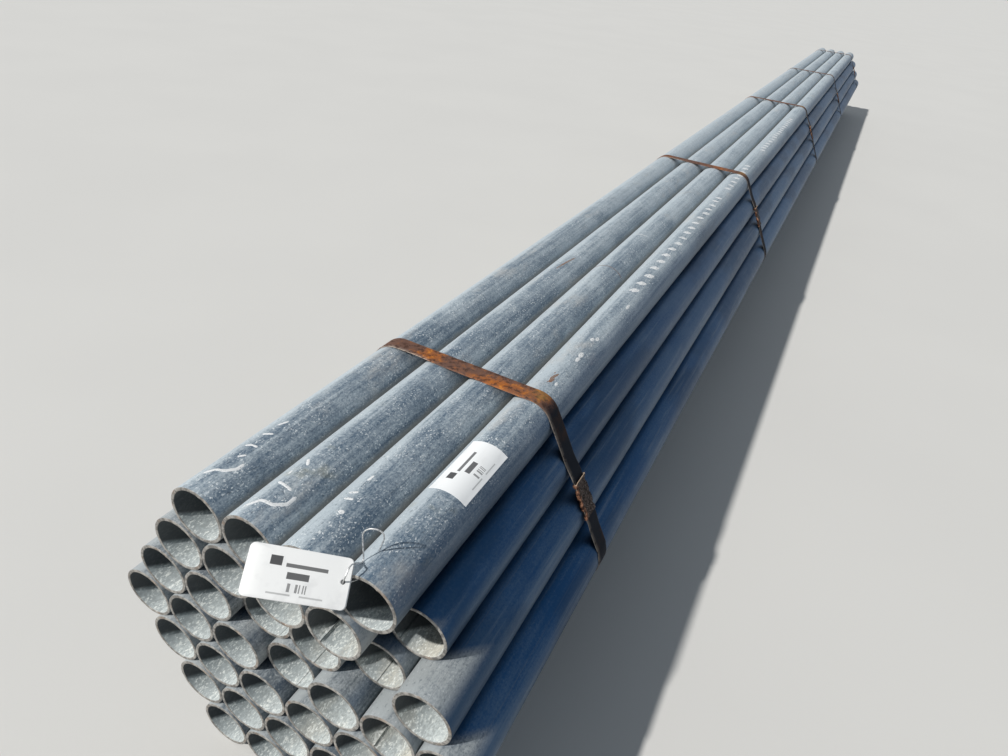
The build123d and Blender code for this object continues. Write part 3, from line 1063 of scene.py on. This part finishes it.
class MakeTags(bpy.types.Operator):
    """Makes the two plastic tags, one behind the other, each with its hole and a slight bow"""

    bl_idname = "pipe_bundle.make_tags"
    bl_label = "Tags"

    def execute(self, context):
        bow = context.scene.bundle_sizes.tag_bow
        self.make_tag(0, bow, "hang_tag", (tag_plastic, plain_plastic))
        self.make_tag(1, bow * BACK_BOW, "hang_tag_back", (plain_plastic, plain_plastic))
        return {"FINISHED"}

    def outline(self):
        """The rounded outline, measured from the hole, and the hole's points facing it."""
        middle = np.array([TAG_HOLE_INSET - TAG_LENGTH / 2, -TAG_HOLE_RISE])
        reach = np.array([TAG_LENGTH / 2 - TAG_CORNER, TAG_HEIGHT / 2 - TAG_CORNER])
        corners = []
        for turn, way in enumerate(((1, 1), (-1, 1), (-1, -1), (1, -1))):
            for angle in np.linspace(turn * 90, turn * 90 + 90, 9):
                corners.append(middle + way * reach + TAG_CORNER * direction(angle))
        outline = []
        for here, after in zip(corners, corners[1:] + corners[:1]):
            steps = max(1, round(float(np.linalg.norm(after - here)) / TAG_STEP))
            outline += [here + (after - here) * share / steps for share in range(steps)]
        outline = np.array(outline)
        hole = outline / np.linalg.norm(outline, axis=1)[:, None] * TAG_HOLE / 2
        return outline, hole

    def make_tag(self, layer, bow, node, recipes):
        out = TAG_FACE.normalized()
        along = (TAG_RUN - out * TAG_RUN.dot(out)).normalized()
        axes = (tag_base() + TAG_HOLE_PLACE, along, out.cross(along), out)
        origin, along, up, out = (np.array(axis) for axis in axes)
        outline, hole = self.outline()
        rings, bands, prints, rims = [], [], [], []

        def ring(share, depth, band, rim=0):
            flat = hole + (outline - hole) * share
            x, y = flat[:, 0] + layer * TAG_SLIDE, flat[:, 1]
            from_hole = np.clip(-flat[:, 0] / (TAG_LENGTH - TAG_HOLE_INSET), 0, 1)
            height = bow * 4 * from_hole * (1 - from_hole) - depth - layer * TAG_LAYER
            rings.append(origin + x[:, None] * along + y[:, None] * up + height[:, None] * out)
            bands.append(band)
            rims.append(rim)
            across = (flat[:, 0] - TAG_HOLE_INSET + TAG_LENGTH) / TAG_LENGTH
            down = (TAG_HEIGHT / 2 - TAG_HOLE_RISE - flat[:, 1]) / TAG_HEIGHT
            prints.append(np.stack([across, down], axis=1))

        for share in TAG_SHARES:
            ring(share, 0, 0)
        ring(1, TAG_THICKNESS * 0.3, 0, 1)
        ring(1, TAG_THICKNESS * 0.7, 1, 1)
        for share in reversed(TAG_SHARES):
            ring(share, TAG_THICKNESS, 1)
        mould = Mould()
        mould.add(rings, True, bands, {"rim": np.array(rims)[:, None]}, prints)
        mould.make(node.replace("hang_tag", "tag_plate"), recipes, node)


class MakeWire(bpy.types.Operator):
    """Makes the bent wire that carries the tags"""

    bl_idname = "pipe_bundle.make_wire"
    bl_label = "Wire"

    def execute(self, context):
        corners = [tag_base() + Vector(corner) for corner in WIRE_CORNERS]
        first, last = corners[1] - corners[0], corners[-2] - corners[-1]
        stations = [(corners[0], -first / 3, first / 3)]
        for before, corner, after, bend in zip(corners, corners[1:], corners[2:], WIRE_BENDS):
            way_in, way_out = (corner - before).normalized(), (after - corner).normalized()
            turn = way_in.angle(way_out)
            reach = bend * math.tan(turn / 2)
            handle = bend * 4 / 3 * math.tan(turn / 4)
            stations.append((corner - way_in * reach, -way_in * handle / 3, way_in * handle))
            stations.append((corner + way_out * reach, -way_out * handle, way_out * handle / 3))
        stations.append((corners[-1], last / 3, -last / 3))
        curve = bpy.data.curves.new("tag_loop", "CURVE")
        curve.dimensions = "3D"
        curve.resolution_u = 10
        curve.bevel_depth = context.scene.bundle_sizes.wire_diameter / 2
        curve.bevel_resolution = 4
        curve.use_fill_caps = True
        spline = curve.splines.new("BEZIER")
        spline.bezier_points.add(len(stations) - 1)
        for point, (spot, back, ahead) in zip(spline.bezier_points, stations):
            point.co = spot
            point.handle_left = spot + back
            point.handle_right = spot + ahead
        curve.materials.append(finish_of(wire_steel))
        settle(new_object("tag_loop", curve), "tag_wire")
        return {"FINISHED"}


class MakeSticker(bpy.types.Operator):
    """Makes the white label bent over the top right pipe"""

    bl_idname = "pipe_bundle.make_sticker"
    bl_label = "Sticker"

    def execute(self, context):
        pipe = Pipe(TAGGED_PIPE)
        radius = context.scene.bundle_sizes.pipe_diameter / 2
        low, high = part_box("sticker")
        half = math.degrees(STICKER_HALF_WIDTH / radius)
        angles = np.linspace(STICKER_TURN + half, STICKER_TURN - half, 25)
        from_middle = np.abs(angles - STICKER_TURN)
        edge = STICKER_EDGE_CURL * smooth(from_middle, half * 0.86, half)
        down = (STICKER_TURN + half - angles) / (2 * half)
        down = np.concatenate([down, down[::-1]])
        last = STICKER_RINGS - 1
        rings, prints = [], []
        for number, y in enumerate(np.linspace(low.y, high.y, STICKER_RINGS)):
            curl = STICKER_END_CURL * smooth(abs(number - last / 2), last / 2 - 1.5, last / 2)
            curl = curl + STICKER_WAVE * rough(y * 60, 0.3, 0.7)
            bottom = radius + STICKER_OFF_PIPE + curl * from_middle / half + edge
            face = ring_round(pipe, bottom + STICKER_THICKNESS, angles, y)
            back = ring_round(pipe, bottom, angles, y)
            rings.append(np.concatenate([face, back[::-1]]))
            prints.append(np.stack([np.full_like(down, number / last), down], axis=1))
        mould = Mould()
        mould.add(rings, print_places=prints)
        mould.make("label", (label_paper,), "sticker")
        return {"FINISHED"}


# Paint and rust marks

# A stroke's section: across in half widths, and height in metres
STROKE_ACROSS = np.array([-1, -0.75, 0, 0.75, 1, 0.9, -0.9])
STROKE_HEIGHT = np.array([0.05, 0.85, 1, 0.85, 0.05, -0.2, -0.2]) * 0.00018
# How close a stroke's rings lie, and how many it has at least
STROKE_STEP = 0.0015
STROKE_FEWEST = 9


def stroke(mould, node, places, width, oval=False):
    """A film of paint over a pipe's curve. Places are distances from the top row's near ends
    in metres and angles in degrees."""
    pipe, radius = Pipe(node), bpy.context.scene.bundle_sizes.pipe_diameter / 2
    flat = np.array([(y, math.radians(angle) * radius) for y, angle in places])
    steps = np.concatenate([[0], np.cumsum(np.linalg.norm(np.diff(flat, axis=0), axis=1))])
    count = max(STROKE_FEWEST, int(steps[-1] / STROKE_STEP))
    share = np.linspace(0, steps[-1], count)
    path = np.stack([np.interp(share, steps, flat[:, axis]) for axis in (0, 1)], axis=1)
    for _ in range(max(2, count // 14)):
        path[1:-1] = (path[:-2] + 2 * path[1:-1] + path[2:]) / 4
    way = np.gradient(path, axis=0)
    way /= np.linalg.norm(way, axis=1)[:, None] + 1e-12
    side = np.stack([-way[:, 1], way[:, 0]], axis=1)
    across = STROKE_ACROSS
    rings, worn = [], []
    for number, (spot, beside) in enumerate(zip(path, side)):
        t = number / (count - 1) * 2 - 1
        taper = math.sqrt(max(0.02, 1 - t * t)) if oval else min(1, 0.35 + 6 * (1 - abs(t)))
        ragged = 1 + 0.22 * rough(spot[0] * 900, spot[1] * 900, number * 0.37)
        flat_ring = spot + across[:, None] * (width / 2 * taper * ragged) * beside
        angles = np.degrees(flat_ring[:, 1] / radius)
        rings.append(ring_round(pipe, radius + STROKE_HEIGHT, angles, TOP_ROW_END + flat_ring[:, 0]))
        worn.append((1 - across**2) * max(0, 1 - t * t) * oval)
    mould.add(rings, fields={"worn": worn})


# Plain strokes on the first three pipes of the top row: share of the usual width, and places
STROKES = {
    "pipe_r1_c1": (
        (1.1, ((0.028, 112), (0.038, 98), (0.041, 84), (0.052, 72), (0.062, 72))),
        (0.8, ((0.066, 94), (0.073, 84))),
        (0.9, ((0.086, 108), (0.090, 97), (0.090, 84))),
        (0.9, ((0.112, 106), (0.118, 88))),
        (0.8, ((0.134, 102), (0.146, 92))),
    ),
    "pipe_r1_c2": (
        (1.2, ((0.016, 118), (0.030, 100), (0.031, 78), (0.042, 62), (0.056, 62))),
        (1.0, ((0.062, 110), (0.058, 76))),
        (0.8, ((0.077, 110), (0.084, 112))),
        (1.0, ((0.108, 108), (0.098, 96))),
    ),
    "pipe_r1_c3": (
        (1.0, ((0.081, 110), (0.083, 93))),
        (0.9, ((0.091, 112), (0.095, 97))),
        (0.9, ((0.116, 103), (0.126, 101))),
        (0.6, ((1.087, 112), (1.088, 92), (1.089, 72))),
    ),
}
# One dot on the third pipe: its two places, and its width
THIRD_DOT = ((0.0585, 91.5), (0.0645, 91))
THIRD_DOT_WIDTH = 0.007
# Paint dots along the top right pipe: place, angle, length and width in metres
DOTS = (
    (0.4257, 71, 0.010, 0.0040),
    (0.5063, 72, 0.014, 0.0055),
    (0.5220, 73, 0.016, 0.0070),
    (0.5772, 78, 0.012, 0.0065),
    (0.5858, 69, 0.012, 0.0060),
    (0.7317, 65, 0.020, 0.0050),
)
# The row of slanted dabs further along it: from where to where, and how many degrees round each
# of a pair lies, with its share of the width
DABS_START, DABS_END = 0.80, 2.9
DAB_PAIR = ((0, 1.0), (9, 0.7))
# Rust spots on the top right pipe: place, angle, length and width
RUST_SPOTS = (
    (0.4210, 87.0, 0.014, 0.0060),
    (0.4290, 89.0, 0.016, 0.0052),
    (0.4270, 84.0, 0.007, 0.0026),
    (0.4400, 85.0, 0.010, 0.0040),
    (0.4190, 90.0, 0.004, 0.0016),
    (0.4460, 92.0, 0.005, 0.0018),
)
# Degrees round for each metre along a rust spot
RUST_SPOT_TURN = 250
# A rust ring on the third pipe, and a streak on the second
RUST_RING = tuple((0.870, angle) for angle in range(150, 20, -10))
RUST_RING_WIDTH = 0.0022
RUST_STREAK = ((0.787, 95), (0.83, 88), (0.865, 80))
RUST_STREAK_WIDTH = 0.004


class MakeMarks(bpy.types.Operator):
    """Makes the white paint strokes and dots, and the rust marks, on the top pipes"""

    bl_idname = "pipe_bundle.make_marks"
    bl_label = "Paint and rust marks"

    def execute(self, context):
        paint = Mould()
        for node, strokes in STROKES.items():
            for share, places in strokes:
                stroke(paint, node, places, context.scene.bundle_sizes.stroke_width * share)
        stroke(paint, "pipe_r1_c3", THIRD_DOT, THIRD_DOT_WIDTH, oval=True)
        for place, angle, long, wide in DOTS:
            ends = ((place - long / 2, angle), (place + long / 2, angle))
            stroke(paint, TAGGED_PIPE, ends, wide, oval=True)
        self.paint_dabs(paint)
        paint.make("paint_marks", (white_paint,))
        rust = Mould()
        stroke(rust, "pipe_r1_c3", RUST_RING, RUST_RING_WIDTH)
        for y, angle, long, wide in RUST_SPOTS:
            ends = ((y, angle), (y + long, angle - long * RUST_SPOT_TURN))
            stroke(rust, TAGGED_PIPE, ends, wide, oval=True)
        stroke(rust, "pipe_r1_c2", RUST_STREAK, RUST_STREAK_WIDTH, oval=True)
        rust.make("rust_marks", (rust_stain,))
        return {"FINISHED"}

    def paint_dabs(self, paint):
        """Pairs of slanted dabs, uneven in place, length and width."""
        place = DABS_START
        while place < DABS_END:
            step = place * 9.7
            gap = 0.5 + 0.5 * rough(step, 1.3, 2.1)
            angle = 77 + 7 * rough(step * 3.1, 7.7, 0.4)
            long = 0.017 + 0.008 * rough(step * 5.3, 3.9, 5.2)
            if rough(place * 5.3, 0.2, 8.8) > -0.25:
                for turn, share in DAB_PAIR:
                    ends = ((place - long / 2, angle + turn + 7), (place + long / 2, angle + turn - 6))
                    wide = (0.0052 + 0.0045 * gap) * share * (0.85 + 0.2 * place)
                    stroke(paint, TAGGED_PIPE, ends, wide, oval=True)
            place += 0.022 + 0.034 * gap


# Stage

FLOOR_RADII = (0.01, 1.5, 6, 20, 400)
FLOOR_POINTS = 48
# The sun: the way that its light goes, its strength, its width in degrees and its colour
SUN_WAY = Vector((0.40, 0.64, -0.655))
SUN_STRENGTH = 3.9
SUN_WIDTH = 1.5
SUN_COLOUR = (1.0, 0.965, 0.91)
# The sky's light, and the backdrop that the camera and the gloss see: colour and strength
SKY_FILL = {"Color": (0.80, 0.90, 1.0), "Strength": 0.25}
BACKDROP = {"Color": (0.86, 0.90, 0.95), "Strength": 0.62}
# The camera: focal length in mm, turns in degrees, and its place from the top row's near ends
FOCAL_LENGTH = 24.385
SENSOR_WIDTH = 36
CAMERA_HEADING = 23.449
CAMERA_DIP = 32.962
CAMERA_ROLL = 7.537
CAMERA_PLACE = (0.37552, -0.34568, 0.97602)


class MakeStage(bpy.types.Operator):
    """Makes the pale floor, the soft light and the camera at the photograph's angle"""

    bl_idname = "pipe_bundle.make_stage"
    bl_label = "Stage"

    def execute(self, context):
        context.scene.view_settings.view_transform = "Standard"
        self.floor()
        self.light(context.scene)
        self.camera(context.scene)
        return {"FINISHED"}

    def floor(self):
        turns = np.radians(np.arange(FLOOR_POINTS) * 360 / FLOOR_POINTS)
        circle = np.stack([np.cos(turns), np.sin(turns), np.zeros_like(turns)], axis=1)
        points = np.concatenate([radius * circle for radius in FLOOR_RADII])
        index = np.arange(len(points)).reshape(len(FLOOR_RADII), FLOOR_POINTS)
        faces = [index[0].tolist()]
        for inner, outer in zip(index, index[1:]):
            faces += np.stack([inner, outer, np.roll(outer, -1), np.roll(inner, -1)], axis=1).tolist()
        mesh = bpy.data.meshes.new("studio_floor")
        mesh.from_pydata(points.tolist(), [], faces)
        mesh.materials.append(finish_of(studio_floor))
        floor = new_object("studio_floor", mesh)

    def light(self, scene):
        key = bpy.data.lights.new("key", "SUN")
        key.energy = SUN_STRENGTH
        key.angle = math.radians(SUN_WIDTH)
        key.color = SUN_COLOUR
        lamp = new_object("key", key)
        lamp.rotation_mode = "QUATERNION"
        lamp.rotation_quaternion = SUN_WAY.to_track_quat("-Z", "Y")
        scene.world = bpy.data.worlds.new("studio")
        nodes = Nodes(scene.world)
        seen = 0
        for kind in ("Camera", "Glossy", "Transmission"):
            ray = nodes.node("ShaderNodeLightPath", output=f"Is {kind} Ray")
            seen = nodes.sum("MAXIMUM", seen, ray)
        fill = nodes.node("ShaderNodeBackground", None, SKY_FILL)
        backdrop = nodes.node("ShaderNodeBackground", None, BACKDROP)
        both = nodes.node("ShaderNodeMixShader", None, {0: seen, 1: fill, 2: backdrop})
        nodes.node("ShaderNodeOutputWorld", None, {"Surface": both})

    def camera(self, scene):
        lens = bpy.data.cameras.new("photo_view")
        lens.sensor_width = SENSOR_WIDTH
        lens.lens = FOCAL_LENGTH
        lens.clip_end = 1000
        camera = new_object("photo_view", lens)
        turn = Matrix.Rotation(math.radians(CAMERA_HEADING), 4, "Z")
        turn = turn @ Matrix.Rotation(math.radians(90 - CAMERA_DIP), 4, "X")
        turn = turn @ Matrix.Rotation(math.radians(CAMERA_ROLL), 4, "Z")
        place = Vector(np.add(CAMERA_PLACE, (0, TOP_ROW_END, 0)))
        camera.matrix_world = Matrix.Translation(place) @ turn
        scene.camera = camera


# Panel and run

MAKERS = (MakeStage, MakePipes, MakeStraps, MakeSeals, MakeTags, MakeWire, MakeSticker, MakeMarks)


class BundlePanel(bpy.types.Panel):
    """Lists the makers and the sizes and colours"""

    bl_idname = "VIEW3D_PT_pipe_bundle"
    bl_label = "Pipe bundle"
    bl_space_type = "VIEW_3D"
    bl_region_type = "UI"
    bl_category = "Pipe bundle"

    def draw(self, context):
        for maker in MAKERS:
            self.layout.operator(maker.bl_idname)
        for group in (context.scene.bundle_sizes, context.scene.bundle_colours):
            for name in group.__annotations__:
                self.layout.prop(group, name, text=name.replace("_", " ").capitalize())


CLASSES = (BundleSizes, BundleColours, *MAKERS, BundlePanel)


def register():
    for kind in CLASSES:
        bpy.utils.register_class(kind)
    bpy.types.Scene.bundle_sizes = bpy.props.PointerProperty(type=BundleSizes)
    bpy.types.Scene.bundle_colours = bpy.props.PointerProperty(type=BundleColours)


def unregister():
    del bpy.types.Scene.bundle_sizes
    del bpy.types.Scene.bundle_colours
    for kind in reversed(CLASSES):
        bpy.utils.unregister_class(kind)


def main():
    register()
    for maker in MAKERS:
        group, name = maker.bl_idname.split(".")
        getattr(getattr(bpy.ops, group), name)()


if __name__ == "__main__":
    main()
